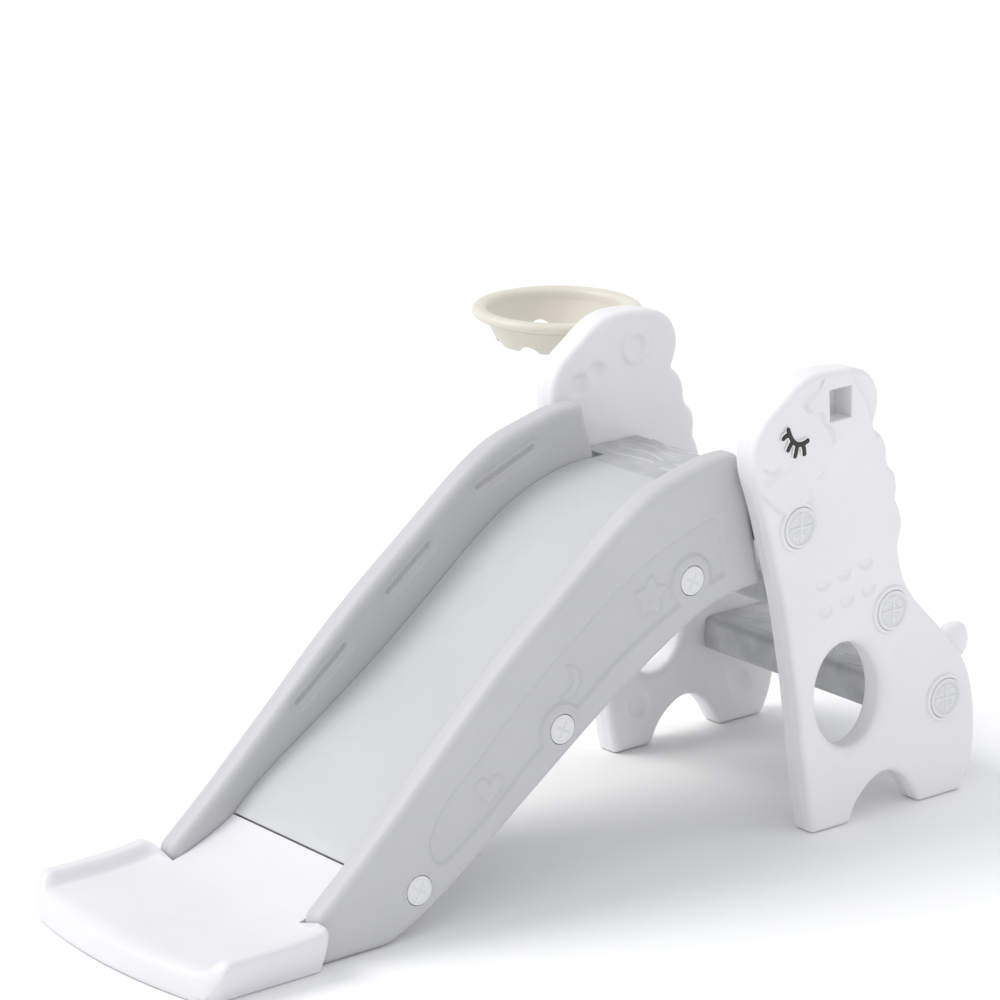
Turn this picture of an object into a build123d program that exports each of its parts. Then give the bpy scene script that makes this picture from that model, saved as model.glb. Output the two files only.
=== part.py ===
"""Toddler slide: two animal-shaped side panels carry two steps and a platform, a chute of two rails
and a board runs down to a floor tray, and a small basketball hoop plugs into one panel.

Millimetres.  +Z is up, the chute runs down towards -Y, and the panel seen from the sitter's left is
on +X.  The origin is on the floor, in the middle of the overall box.
"""

import math
import os

from build123d import *

os.makedirs("parts", exist_ok=True)

# Overall sizes
LENGTH = 1276.0  # nose of the tray to the back of the lower step
WIDTH = 688.0  # far edge of the hoop's rim to the bolt heads on the right panel

# Side panels
PANEL_THICKNESS = 45.0
PANEL_GAP = 355.0  # clear width between the two panels
PANEL_EDGE_RADIUS = 9.0
BELLY_CENTRE = (54.0, 179.0)
BELLY_RADII = (57.0, 74.0)
BELLY_TILT = 14.0
SOCKET_CENTRE = (22.6, 581.0)
SOCKET_SIZE = (40.0, 42.0)
SOCKET_DEPTH = 36.0
EYE_PROUD = 0.8
EYE_DEPTH = 1.2
EYE_STROKE = 4.6

# Large bolts that hold the steps and the platform between the panels
BOLT_HEAD_RADIUS = 27.0
BOLT_HEAD_THICKNESS = 8.0
BOLT_PROUD = 3.0
BOLT_SHANK_RADIUS = 13.0
BOLT_REACH = 26.0  # how far a bolt goes into a step
BOLT_BUSH_RADIUS = 20.0

# Steps: front edge, back edge, underside and top
LOWER_STEP = (152.0, 296.0, 120.0, 168.0)
UPPER_STEP = (48.0, 184.0, 264.0, 309.0)
PLATFORM_NOTCH = -71.0  # the rails' ends stand in front of this, beside the platform

# Chute
RAIL_THICKNESS = 40.0
RAIL_INSIDE = 134.0  # middle of the chute to a rail's inner face
RAIL_EDGE_RADIUS = 11.0
BOARD_HALF_WIDTH = RAIL_INSIDE - 0.5
RIB_HEIGHT = 45.0  # from a screw up into the board, short of its surface
SCREW_HEAD_RADIUS = 19.0
SCREW_HEAD_THICKNESS = 7.0
SCREW_PROUD = 1.5
SCREW_SHANK_RADIUS = 8.0
SCREW_REACH = 24.0
SCREW_BUSH_RADIUS = 13.0

# Exit tray
TRAY_HALF_WIDTH = 202.0
TRAY_FRONT = 980.0  # nose, in front of the tip of the panels' front feet
TRAY_WIDE_FROM = 782.0
LIP_HEIGHT = 56.0

# Hoop
HOOP_RADIUS = 117.0
HOOP_OPENING = 97.0
HOOP_TOP = 601.6
HOOP_DEPTH = 50.0
SKIRT_BOTTOM_RADIUS = 81.0
SKIRT_WALL = 2.6
SKIRT_WAVES = 8

CLEARANCE = 0.3
FIT_GAP = 0.4

# Places that follow from the sizes above
SLIDE_X = WIDTH / 2 - BOLT_PROUD - PANEL_THICKNESS - PANEL_GAP / 2
FOOT_Y = LENGTH / 2 - LOWER_STEP[1]
HOOP_X = HOOP_RADIUS - WIDTH / 2
LEFT, RIGHT = -1, 1
SIDES = {"left": LEFT, "right": RIGHT}

# Pieces that the bolts and screws hold: (distance behind the foot tip, height)
PLATFORM_BOLT = (-45.0, 429.0)
UPPER_STEP_BOLT = (123.0, 284.0)
LOWER_STEP_BOLT = (225.5, 140.5)
TOP_SCREW = (-185.0, 374.0)
MIDDLE_SCREW = (-399.0, 222.0)
BOTTOM_SCREW = (-627.0, 63.0)


def side_plane(x):
    """Vertical plane across X; its axes are the distance behind the front foot's tip, and height."""
    return Plane(origin=(x, FOOT_Y, 0), x_dir=(0, 1, 0), z_dir=(1, 0, 0))


def floor_plane(height=0.0):
    """Level plane whose axes are the distance from the chute's middle, and behind the foot's tip."""
    return Plane(origin=(SLIDE_X, FOOT_Y, height))


def panel_face(side, outside):
    """X of a panel's outer or inner face."""
    return SLIDE_X + side * (PANEL_GAP / 2 + (PANEL_THICKNESS if outside else 0))


def slope_of(run):
    """Angle of a run above the first axis of its plane, in degrees."""
    return math.degrees(math.atan2(run.Y, run.X))


def keep(piece, name):
    """Name a finished piece and write it out."""
    piece.part.label = name
    export_step(piece.part, f"parts/{name}.step")


# ---------------------------------------------------------------- side panels

def make_side_panel(side):
    """Hollow-moulded panel: an animal in profile, with a belly hole, bolt holes and a hoop socket."""
    outside = side_plane(panel_face(side, outside=True))
    with BuildPart() as panel:
        with BuildSketch(side_plane(panel_face(side, outside=False))) as outline:
            with BuildLine():
                Line((-8, 0), (60, 0))
                Spline((60, 0), (68, 20), (92, 46), (122, 58), (152, 47), (174, 22), (186, 0))
                Line((186, 0), (266, 0))
                back = Spline((266, 0), (283, 40), (288, 85), (284, 130), (265, 185), (236, 221),
                              (203, 256), (168, 292), (146, 330), (136, 371))
                low_curl = ThreePointArc(back @ 1, (143, 403), (129, 434))
                middle_curl = ThreePointArc(low_curl @ 1, (131, 458), (116, 480))
                high_curl = ThreePointArc(middle_curl @ 1, (108, 516), (88, 536))
                Spline(high_curl @ 1, (98, 562), (95, 590), (76, 613), (48, 623), (10, 627),
                       (-28, 625), (-56, 612), (-80, 594), (-106, 574), (-121, 546), (-121, 512),
                       (-109, 476), (-97, 440), (-84, 394), (-67, 336), (-53, 270), (-40, 200),
                       (-30, 130), (-20, 65), (-8, 0))
            make_face()
            fillet([v for v in outline.vertices() if v.Y < 1], radius=16)
            fillet([v for v in outline.vertices() if 360 < v.Y < 540], radius=6)
        extrude(amount=side * PANEL_THICKNESS)
        with BuildSketch(side_plane(panel_face(side, outside=False))):
            with Locations(BELLY_CENTRE):
                Ellipse(*BELLY_RADII, rotation=BELLY_TILT)
        extrude(amount=side * PANEL_THICKNESS, mode=Mode.SUBTRACT)
        fillet(panel.faces().filter_by(Axis.X).edges(), radius=PANEL_EDGE_RADIUS)

        bolts = (PLATFORM_BOLT, UPPER_STEP_BOLT, LOWER_STEP_BOLT)
        with BuildSketch(outside):
            with Locations(*bolts):
                Circle(BOLT_SHANK_RADIUS + CLEARANCE)
        extrude(amount=-side * PANEL_THICKNESS, mode=Mode.SUBTRACT)
        with BuildSketch(outside):
            with Locations(*bolts):
                Circle(BOLT_HEAD_RADIUS + CLEARANCE)
        extrude(amount=-side * (BOLT_HEAD_THICKNESS - BOLT_PROUD), mode=Mode.SUBTRACT)
        with BuildSketch(outside):
            with Locations(SOCKET_CENTRE):
                Rectangle(*SOCKET_SIZE)
        extrude(amount=-side * SOCKET_DEPTH, mode=Mode.SUBTRACT)
        with BuildSketch(outside):
            eye_strokes(EYE_STROKE / 2 + CLEARANCE / 2)
        extrude(amount=-side * EYE_DEPTH, mode=Mode.SUBTRACT)
    return panel


def eye_strokes(radius):
    """Closed lid with four lashes, drawn with a round pen of the given radius."""
    lid = ((-70, 565), (-62, 549), (-49, 540), (-33, 544))
    lashes = (((-66, 555), (-79, 551)), ((-61, 545), (-70, 534)), ((-53, 541), (-56, 523)),
              ((-44, 540), (-40, 521)))
    for start, end in list(zip(lid, lid[1:])) + list(lashes):
        middle = ((start[0] + end[0]) / 2, (start[1] + end[1]) / 2)
        run = Vector(*end) - Vector(*start)
        with Locations(Location((*middle, 0), (0, 0, slope_of(run)))):
            SlotCenterToCenter(run.length, 2 * radius)


def make_eye_inlay(side):
    """Black closed eye, set into the panel's outer face."""
    floor_of_recess = panel_face(side, outside=True) - side * EYE_DEPTH
    with BuildPart() as eye:
        with BuildSketch(side_plane(floor_of_recess)):
            eye_strokes(EYE_STROKE / 2)
        extrude(amount=side * (EYE_DEPTH + EYE_PROUD))
    return eye


# ---------------------------------------------------------------- steps, platform and bolts

def cut_bush_pockets(half_width, centre, radius, depth):
    """Round pockets in both ends of the piece being built, for its threaded bushes."""
    for side in SIDES.values():
        with BuildSketch(side_plane(SLIDE_X + side * half_width)) as mouth:
            with Locations(centre):
                Circle(radius + CLEARANCE)
        extrude(mouth.sketch, amount=-side * (depth + CLEARANCE), mode=Mode.SUBTRACT)


def make_step(front, rear, bottom, top, bolt):
    """Hollow-moulded step, as long as the gap between the panels, with rounded long edges."""
    half_width = PANEL_GAP / 2 - CLEARANCE
    with BuildPart() as step:
        with BuildSketch(side_plane(SLIDE_X - half_width)) as section:
            with Locations(((front + rear) / 2, (bottom + top) / 2)):
                Rectangle(rear - front, top - bottom)
            fillet(section.vertices(), radius=11)
        extrude(amount=2 * half_width)
        cut_bush_pockets(half_width, bolt, BOLT_BUSH_RADIUS, BOLT_REACH)
    return step


def make_platform():
    """Top platform: a deeper step, stepped down in front for the board's end and notched for the rails."""
    half_width = PANEL_GAP / 2 - CLEARANCE
    with BuildPart() as platform:
        with BuildSketch(side_plane(SLIDE_X - half_width)) as section:
            with BuildLine():
                FilletPolyline((-120, 440 - CLEARANCE), (-120, 404), (34, 404), (34, 452), (-96, 452),
                               (-96, 440 - CLEARANCE), radius=(10, 11, 11, 3))
                Line((-96, 440 - CLEARANCE), (-120, 440 - CLEARANCE))
            make_face()
        extrude(amount=2 * half_width)
        for side in SIDES.values():
            with BuildSketch(floor_plane(height=400)):
                with Locations((side * (BOARD_HALF_WIDTH + 25), PLATFORM_NOTCH - 25)):
                    Rectangle(50, 50)
            extrude(amount=60, mode=Mode.SUBTRACT)
        cut_bush_pockets(half_width, PLATFORM_BOLT, BOLT_BUSH_RADIUS, BOLT_REACH)
    return platform


def make_fastener_pair(centre, face, head_radius, head_thickness, proud, shank_radius, shank_end):
    """Two round-headed bolts, one from each side; the heads stand proud of faces at +-face."""
    with BuildPart() as pair:
        for side in SIDES.values():
            seat = side_plane(SLIDE_X + side * (face + proud - head_thickness))
            with BuildSketch(seat):
                with Locations(centre):
                    Circle(head_radius)
            extrude(amount=side * head_thickness)
            with BuildSketch(seat):
                with Locations(centre):
                    Circle(shank_radius)
            extrude(amount=-side * (face + proud - head_thickness - shank_end))
            crown = side_plane(SLIDE_X + side * (face + proud))
            with BuildSketch(crown):
                with Locations(centre):
                    Rectangle(1.2 * head_radius, 0.16 * head_radius)
                    Rectangle(0.16 * head_radius, 1.2 * head_radius)
            extrude(amount=-side * 1.5, mode=Mode.SUBTRACT)
        rims = pair.edges().filter_by(GeomType.CIRCLE)
        rims = [e for e in rims if abs(abs(e.center().X - SLIDE_X) - face - proud) < 0.01]
        fillet(rims, radius=1.2)
    return pair


def make_bush_pair(centre, half_width, outer_radius, bore_radius, length):
    """Two threaded bushes that sit in the ends of a step or a rib and take the bolts."""
    with BuildPart() as pair:
        for side in SIDES.values():
            with BuildSketch(side_plane(SLIDE_X + side * half_width)):
                with Locations(centre):
                    Circle(outer_radius)
                    Circle(bore_radius, mode=Mode.SUBTRACT)
            extrude(amount=-side * length)
    return pair


# ---------------------------------------------------------------- chute

def make_rail(side):
    """Hollow-moulded side rail: a deep curved beam with a rounded top and grip slots inside."""
    inner = side_plane(SLIDE_X + side * RAIL_INSIDE)
    outer = side_plane(SLIDE_X + side * (RAIL_INSIDE + RAIL_THICKNESS))
    screws = (TOP_SCREW, MIDDLE_SCREW, BOTTOM_SCREW)
    with BuildPart() as rail:
        with BuildSketch(inner) as outline:
            with BuildLine():
                under = Spline((-672, 0), (-638, 14), (-596, 38), (-533, 80), (-469, 127), (-404, 174),
                               (-339, 220), (-273, 263), (-206, 303), (-155, 328), (-108, 340),
                               (-62, 344))
                rear = Spline(under @ 1, (-72, 400), (-86, 460), (-106, 528))
                ridge = Spline(rear @ 1, (-148, 527), (-191, 517), (-240, 503), (-290, 476),
                               (-335, 443), (-395, 396), (-460, 346), (-526, 290), (-590, 230),
                               (-655, 169), (-718, 112), (-779, 60))
                Polyline(ridge @ 1, (-779, 0), under @ 0)
            make_face()
            corners = outline.vertices().sort_by(Axis.X)
            fillet(corners[:2] + corners[-1:], radius=14)
            fillet([v for v in outline.vertices() if v.Y > 520], radius=18)
            fillet([v for v in outline.vertices() if -700 < v.X < -650], radius=60)
        extrude(amount=side * RAIL_THICKNESS)
        fillet(rail.faces().filter_by(Axis.X).edges(), radius=RAIL_EDGE_RADIUS)

        with BuildSketch(outer):
            with Locations(*screws):
                Circle(SCREW_SHANK_RADIUS + CLEARANCE)
        extrude(amount=-side * RAIL_THICKNESS, mode=Mode.SUBTRACT)
        with BuildSketch(outer):
            with Locations(*screws):
                Circle(SCREW_HEAD_RADIUS + CLEARANCE)
        extrude(amount=-side * (SCREW_HEAD_THICKNESS - SCREW_PROUD), mode=Mode.SUBTRACT)
        slots = (((-580, 218), (-505, 276)), ((-432, 332), (-368, 381)), ((-284, 446), (-195, 484)))
        with BuildSketch(inner):
            for start, end in slots:
                run = Vector(*end) - Vector(*start)
                middle = ((start[0] + end[0]) / 2, (start[1] + end[1]) / 2)
                with Locations(Location((*middle, 0), (0, 0, slope_of(run)))):
                    SlotCenterToCenter(run.length, 7)
        extrude(amount=side * 6, mode=Mode.SUBTRACT)
    return rail


def make_slide_board():
    """Sliding surface between the rails, with two cross ribs below it that take the rail screws."""
    with BuildPart() as board:
        with BuildSketch(side_plane(SLIDE_X - BOARD_HALF_WIDTH)):
            with BuildLine():
                surface = Spline((-685, 90), (-644, 125), (-580, 168), (-516, 210), (-450, 256),
                                 (-384, 306), (-331, 348), (-270, 394), (-215, 425), (-165, 443),
                                 (-120, 451), (-96.5, 452))
                under = Spline((-666, 67), (-564, 143), (-432, 232), (-313, 324), (-253, 369),
                               (-202, 398), (-157, 414), (-120.5, 420))
                Line(surface @ 0, under @ 0)
                Polyline(under @ 1, (-120.5, 440), (-96.5, 440), surface @ 1)
            make_face()
            for centre, lean in ((TOP_SCREW, 24), (MIDDLE_SCREW, 37)):
                with Locations(Location((*centre, 0), (0, 0, lean))):
                    Rectangle(56, RIB_HEIGHT, align=(Align.CENTER, Align.MIN))
                    Circle(28)
                    with Locations((0, 10)):
                        Rectangle(56, 20)
        extrude(amount=2 * BOARD_HALF_WIDTH)
        cut_bush_pockets(BOARD_HALF_WIDTH, TOP_SCREW, SCREW_BUSH_RADIUS, SCREW_REACH)
        cut_bush_pockets(BOARD_HALF_WIDTH, MIDDLE_SCREW, SCREW_BUSH_RADIUS, SCREW_REACH)
    return board


def make_exit_tray():
    """Floor tray at the chute's foot: a tongue between the rails opens into a wide, lipped pan."""
    with BuildPart() as tray:
        with BuildSketch(side_plane(SLIDE_X - TRAY_HALF_WIDTH)) as section:
            with BuildLine():
                top = Spline((-687, 88), (-711, 75), (-742, 61), (-773, 50), (-805, 43), (-845, 40),
                             (-890, 40), (-940, 41))
                nose = Spline(top @ 1, (-957, 38), (-972, 29), (-TRAY_FRONT, 15))
                belly = Spline((-690, 0), (-658, 12), (-628, 29), (-598, 54))
                Polyline(nose @ 1, (-TRAY_FRONT, 0), belly @ 0)
                Polyline(belly @ 1, (-598, 110), (-667, 64), top @ 0)
            make_face()
            fillet([v for v in section.vertices() if v.X < 1 - TRAY_FRONT and v.Y < 1], radius=8)
        extrude(amount=2 * TRAY_HALF_WIDTH)
        with BuildSketch(floor_plane()) as plan:
            with BuildLine():
                wide = -TRAY_WIDE_FROM
                half = TRAY_HALF_WIDTH
                tongue = BOARD_HALF_WIDTH
                ThreePointArc((-half, -951), (0, -TRAY_FRONT), (half, -951))
                Polyline((half, -951), (half, wide), (tongue, wide), (tongue, -590), (-tongue, -590),
                         (-tongue, wide), (-half, wide), (-half, -951))
            make_face()
            fillet([v for v in plan.vertices() if v.Y < -940], radius=38)
            fillet([v for v in plan.vertices() if abs(v.X) > half - 1 and v.Y > -800], radius=12)
        extrude(amount=120, mode=Mode.INTERSECT)
        for side in SIDES.values():
            with BuildSketch(Plane.XZ.offset(TRAY_WIDE_FROM + 6 - FOOT_Y)):
                with BuildLine():
                    section = [(166, 40), (187, LIP_HEIGHT), (197, LIP_HEIGHT), (half, 50), (half, 20),
                               (166, 20)]
                    Polyline(*[(SLIDE_X + side * x, z) for x, z in section], close=True)
                make_face()
            extrude(amount=140)
        cut_bush_pockets(BOARD_HALF_WIDTH, BOTTOM_SCREW, SCREW_BUSH_RADIUS, SCREW_REACH)
    return tray


# ---------------------------------------------------------------- hoop

def make_hoop():
    """Basketball hoop: rolled rim, tapered skirt with a waved edge, and a square hollow tongue."""
    axis_x = HOOP_X
    axis_y = FOOT_Y + SOCKET_CENTRE[0]
    panel_x = panel_face(LEFT, outside=True)
    tongue = [size - 2 * FIT_GAP for size in SOCKET_SIZE]
    upright = Plane(origin=(axis_x, axis_y, HOOP_TOP), x_dir=(1, 0, 0), z_dir=(0, -1, 0))
    with BuildPart() as hoop:
        with BuildSketch(side_plane(axis_x + SKIRT_BOTTOM_RADIUS + 4)):
            with Locations(SOCKET_CENTRE):
                Rectangle(*tongue)
        extrude(amount=panel_x + SOCKET_DEPTH - 2 - (axis_x + SKIRT_BOTTOM_RADIUS + 4))
        with BuildSketch(upright):
            with BuildLine():
                Polyline((0, 1), (HOOP_OPENING - SKIRT_WALL, 1), (HOOP_OPENING - SKIRT_WALL, -14),
                         (SKIRT_BOTTOM_RADIUS - SKIRT_WALL, -HOOP_DEPTH), (0, -HOOP_DEPTH), close=True)
            make_face()
        revolve(axis=Axis(upright.origin, (0, 0, 1)), mode=Mode.SUBTRACT)
        with BuildSketch(upright):
            with BuildLine():
                Polyline((HOOP_OPENING - SKIRT_WALL, -14), (HOOP_OPENING - SKIRT_WALL, -4),
                         (HOOP_OPENING + 2, 0), (HOOP_RADIUS - 6, 0))
                ThreePointArc((HOOP_RADIUS - 6, 0), (HOOP_RADIUS, -6.5), (HOOP_RADIUS - 6, -13))
                Polyline((HOOP_RADIUS - 6, -13), (HOOP_OPENING, -15), (SKIRT_BOTTOM_RADIUS, -HOOP_DEPTH),
                         (SKIRT_BOTTOM_RADIUS - SKIRT_WALL, -HOOP_DEPTH),
                         (HOOP_OPENING - SKIRT_WALL, -14))
            make_face()
        revolve(axis=Axis(upright.origin, (0, 0, 1)))
        with Locations(Location((axis_x, axis_y, HOOP_TOP - HOOP_DEPTH - 13))):
            with PolarLocations(0, SKIRT_WAVES, start_angle=180 / SKIRT_WAVES):
                with Locations(Location((SKIRT_BOTTOM_RADIUS, 0, 0), (0, 90, 0))):
                    Cylinder(22, 30, mode=Mode.SUBTRACT)
        with BuildSketch(side_plane(panel_x + SOCKET_DEPTH - 2)):
            with Locations(SOCKET_CENTRE):
                Rectangle(tongue[0] - 6, tongue[1] - 6)
        extrude(amount=-(SOCKET_DEPTH + 2), mode=Mode.SUBTRACT)
    return hoop


# ---------------------------------------------------------------- make and write every piece

for name, side in SIDES.items():
    keep(make_side_panel(side), f"side_panel_{name}")
    keep(make_eye_inlay(side), f"eye_inlay_{name}")
    keep(make_rail(side), f"chute_rail_{name}")

keep(make_step(*LOWER_STEP, LOWER_STEP_BOLT), "lower_step")
keep(make_step(*UPPER_STEP, UPPER_STEP_BOLT), "upper_step")
keep(make_platform(), "top_platform")
keep(make_slide_board(), "slide_board")
keep(make_exit_tray(), "exit_tray")
keep(make_hoop(), "hoop")

step_half_width = PANEL_GAP / 2 - CLEARANCE
panel_half_width = PANEL_GAP / 2 + PANEL_THICKNESS
for name, centre in {"platform": PLATFORM_BOLT, "upper_step": UPPER_STEP_BOLT,
                     "lower_step": LOWER_STEP_BOLT}.items():
    keep(make_fastener_pair(centre, panel_half_width, BOLT_HEAD_RADIUS, BOLT_HEAD_THICKNESS,
                            BOLT_PROUD, BOLT_SHANK_RADIUS, step_half_width - BOLT_REACH),
         f"{name}_bolts")
    keep(make_bush_pair(centre, step_half_width, BOLT_BUSH_RADIUS, BOLT_SHANK_RADIUS + CLEARANCE,
                        BOLT_REACH), f"{name}_bushes")

rail_half_width = RAIL_INSIDE + RAIL_THICKNESS
for name, centre in {"top": TOP_SCREW, "middle": MIDDLE_SCREW, "bottom": BOTTOM_SCREW}.items():
    keep(make_fastener_pair(centre, rail_half_width, SCREW_HEAD_RADIUS, SCREW_HEAD_THICKNESS,
                            SCREW_PROUD, SCREW_SHANK_RADIUS, BOARD_HALF_WIDTH - SCREW_REACH),
         f"rail_screws_{name}")
    keep(make_bush_pair(centre, BOARD_HALF_WIDTH, SCREW_BUSH_RADIUS, SCREW_SHANK_RADIUS + CLEARANCE,
                        SCREW_REACH), f"rail_bushes_{name}")
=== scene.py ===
"""Toddler slide in moulded plastic: two woolly-animal side panels, steps, a chute with a floor tray, and
a small basketball hoop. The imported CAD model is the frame, and this script gives it its looks.

Shapes are worked out in millimetres as (across, behind, height): across is measured from the chute's
middle towards the near panel, behind from the tip of the panels' front feet, height from the floor.
"""

import math

import bmesh
import bpy
import numpy as np
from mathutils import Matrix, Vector


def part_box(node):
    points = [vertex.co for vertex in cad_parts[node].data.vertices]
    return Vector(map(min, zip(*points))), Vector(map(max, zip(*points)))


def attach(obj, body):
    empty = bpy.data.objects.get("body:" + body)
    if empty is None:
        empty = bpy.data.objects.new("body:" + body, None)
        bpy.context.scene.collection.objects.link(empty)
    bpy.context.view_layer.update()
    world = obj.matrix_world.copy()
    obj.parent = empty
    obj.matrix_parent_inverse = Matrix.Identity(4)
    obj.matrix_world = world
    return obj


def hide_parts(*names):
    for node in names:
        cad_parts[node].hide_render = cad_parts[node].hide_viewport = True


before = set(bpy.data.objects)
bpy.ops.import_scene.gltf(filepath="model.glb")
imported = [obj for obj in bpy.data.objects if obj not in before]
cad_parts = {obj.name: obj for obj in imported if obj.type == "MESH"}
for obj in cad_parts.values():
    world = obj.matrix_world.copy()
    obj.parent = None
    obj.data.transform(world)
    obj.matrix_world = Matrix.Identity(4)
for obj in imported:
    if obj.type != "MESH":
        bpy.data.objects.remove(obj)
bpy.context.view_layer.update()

# ---------------------------------------------------------------- studio
# A plain pale floor under a bright, even room. A broad soft key light comes from high in front, on the
# hoop's side, as evenly as through a large skylight. The camera looks up the chute from in front.

FLOOR_SIZE = 60.0
CAMERA_PLACE = (4.2822, -3.3968, 2.0684)
CAMERA_BACK = (0.744, -0.604, 0.285)
CAMERA_LENS, SENSOR_WIDTH = 158.8, 36.0
KEY_FROM, KEY_SOFTNESS, KEY_STRENGTH = (-1.0, -1.15, 1.75), math.radians(34), 1.35
ROOM_STRENGTH = 0.84

scene = bpy.context.scene
scene.view_settings.view_transform = "Standard"

camera = bpy.data.objects.new("camera", bpy.data.cameras.new("camera"))
scene.collection.objects.link(camera)
camera.data.lens = CAMERA_LENS
camera.data.sensor_width = SENSOR_WIDTH
camera.data.clip_end = 100.0
camera.location = CAMERA_PLACE
camera.rotation_mode = "QUATERNION"
camera.rotation_quaternion = (-Vector(CAMERA_BACK)).to_track_quat("-Z", "Y")
scene.camera = camera

key = bpy.data.objects.new("key_light", bpy.data.lights.new("key_light", "SUN"))
scene.collection.objects.link(key)
key.data.angle = KEY_SOFTNESS
key.data.energy = KEY_STRENGTH
key.data.color = (1.0, 0.99, 0.975)
key.rotation_mode = "QUATERNION"
key.rotation_quaternion = (-Vector(KEY_FROM)).to_track_quat("-Z", "Y")

world = bpy.data.worlds.new("room")
scene.world = world
world.use_nodes = True
world.node_tree.nodes["Background"].inputs["Color"].default_value = (0.97, 0.98, 1.0, 1)
world.node_tree.nodes["Background"].inputs["Strength"].default_value = ROOM_STRENGTH

floor_mesh = bpy.data.meshes.new("floor")
half_floor = FLOOR_SIZE / 2
floor_mesh.from_pydata([(-half_floor, -half_floor, 0), (half_floor, -half_floor, 0),
                        (half_floor, half_floor, 0), (-half_floor, half_floor, 0)], [], [(0, 1, 2, 3)])
floor = bpy.data.objects.new("floor", floor_mesh)
scene.collection.objects.link(floor)
floor_paint = bpy.data.materials.new("floor_paint")
floor_paint.use_nodes = True
floor_nodes, floor_links = floor_paint.node_tree.nodes, floor_paint.node_tree.links
floor_shader = floor_nodes["Principled BSDF"]
floor_shader.inputs["Roughness"].default_value = 0.85
floor_place = floor_nodes.new("ShaderNodeTexCoord")
floor_cloud = floor_nodes.new("ShaderNodeTexNoise")
floor_cloud.inputs["Scale"].default_value = 0.8
floor_tone = floor_nodes.new("ShaderNodeMix")
floor_tone.data_type = "RGBA"
floor_tone.inputs["A"].default_value = (0.95, 0.95, 0.95, 1)
floor_tone.inputs["B"].default_value = (0.97, 0.97, 0.97, 1)
floor_links.new(floor_place.outputs["Object"], floor_cloud.inputs["Vector"])
floor_links.new(floor_cloud.outputs["Fac"], floor_tone.inputs["Factor"])
floor_links.new(floor_tone.outputs["Result"], floor_shader.inputs["Base Color"])
floor_mesh.materials.append(floor_paint)

# ---------------------------------------------------------------- side panels
# Two hollow panels blow-moulded in white polyethylene, each a woolly animal in profile: big soft edges,
# a belly hole, a thin parting line round the rim, a face and wool marks in low relief, a set-back ear
# behind the hoop socket, and tack-off dimples inside.

rail_low, rail_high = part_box("chute_rail_left")[0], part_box("chute_rail_right")[1]
CHUTE_MIDDLE = (rail_low.x + rail_high.x) * 500
LOWER_STEP_REAR = 296.0
FOOT_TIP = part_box("lower_step")[1].y * 1000 - LOWER_STEP_REAR
EYE_PROUD = 0.8
PANEL_OUTSIDE = (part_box("eye_inlay_right")[1].x * 1000 - EYE_PROUD) - CHUTE_MIDDLE
PANEL_THICKNESS = 45.0
PANEL_MIDDLE = PANEL_OUTSIDE - PANEL_THICKNESS / 2
SIDES = {"left": -1, "right": 1}

ARCH_TOP, THROAT, CHEEK, NAPE, RUMP = (122, 58), (-53, 270), (-121, 530), (88, 536), (168, 292)
FORE_HEEL, FORE_TOE, HIND_HEEL, HIND_TOE = (58, 4), (-5, 4), (264, 4), (187, 4)
BELLY_CENTRE, BELLY_RADII, BELLY_LEAN = np.array((54.0, 179.0)), np.array((57.0, 74.0)), math.radians(14)
SOCKET_LOW, SOCKET_HIGH, SOCKET_DEEP = (2.6, 560.0), (42.6, 602.0), 36.0
BOLTS = {"platform": (-45.0, 429.0), "upper_step": (123.0, 284.0), "lower_step": (225.5, 140.5)}
BOLT_RADIUS, BOLT_SHANK, BOLT_PROUD, BOLT_REACH = 27.0, 13.0, 2.6, 26.0
PANEL_RIM = 10.0
PARTING_INSET, PARTING_LEVEL = 0.2, 0.9
RIM_BLUR = 5.0
CHIN_HIGH, CHIN_FADE, FORELOCK_HIGH, FORELOCK_FADE, EAR_DEEP = 6.0, 30, 5.4, 26, 6.0
EAR_FROM, EAR_EASE = 522, 18
WOOL_DEEP, BOLT_SEAT_DEEP, FACE_BACK = 2.8, 7.0, 3.0
HOLE_ROLL, HOLE_DROP = 20, 13


def curve_through(points, step=1.0):
    """Natural cubic spline through the points by chord length, as points about one step apart."""
    knots = np.array(points, float)
    place = np.concatenate([[0], np.cumsum(np.linalg.norm(np.diff(knots, axis=0), axis=1))])
    gap = np.diff(place)
    slope = np.diff(knots, axis=0) / gap[:, None]
    count = len(place)
    system, right = np.eye(count), np.zeros_like(knots)
    inner = np.arange(1, count - 1)
    system[inner, inner - 1], system[inner, inner + 1] = gap[:-1], gap[1:]
    system[inner, inner] = 2 * (gap[:-1] + gap[1:])
    right[1:-1] = 6 * np.diff(slope, axis=0)
    bend = np.linalg.solve(system, right)
    at = np.linspace(0, place[-1], max(2, round(place[-1] / step) + 1))
    k = np.clip(np.searchsorted(place, at, side="right") - 1, 0, count - 2)
    after, before, wide = (at - place[k])[:, None], (place[k + 1] - at)[:, None], gap[k][:, None]
    cubic = (bend[k] * before**3 + bend[k + 1] * after**3) / (6 * wide)
    low, high = knots[k] / wide - bend[k] * wide / 6, knots[k + 1] / wide - bend[k + 1] * wide / 6
    return cubic + low * before + high * after


def even(path, count):
    """The path again, as count points at equal steps along it."""
    along = np.concatenate([[0], np.cumsum(np.linalg.norm(np.diff(path, axis=0), axis=1))])
    at = np.linspace(0, along[-1], count)
    return np.stack([np.interp(at, along, path[:, i]) for i in range(path.shape[1])], 1)


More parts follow.
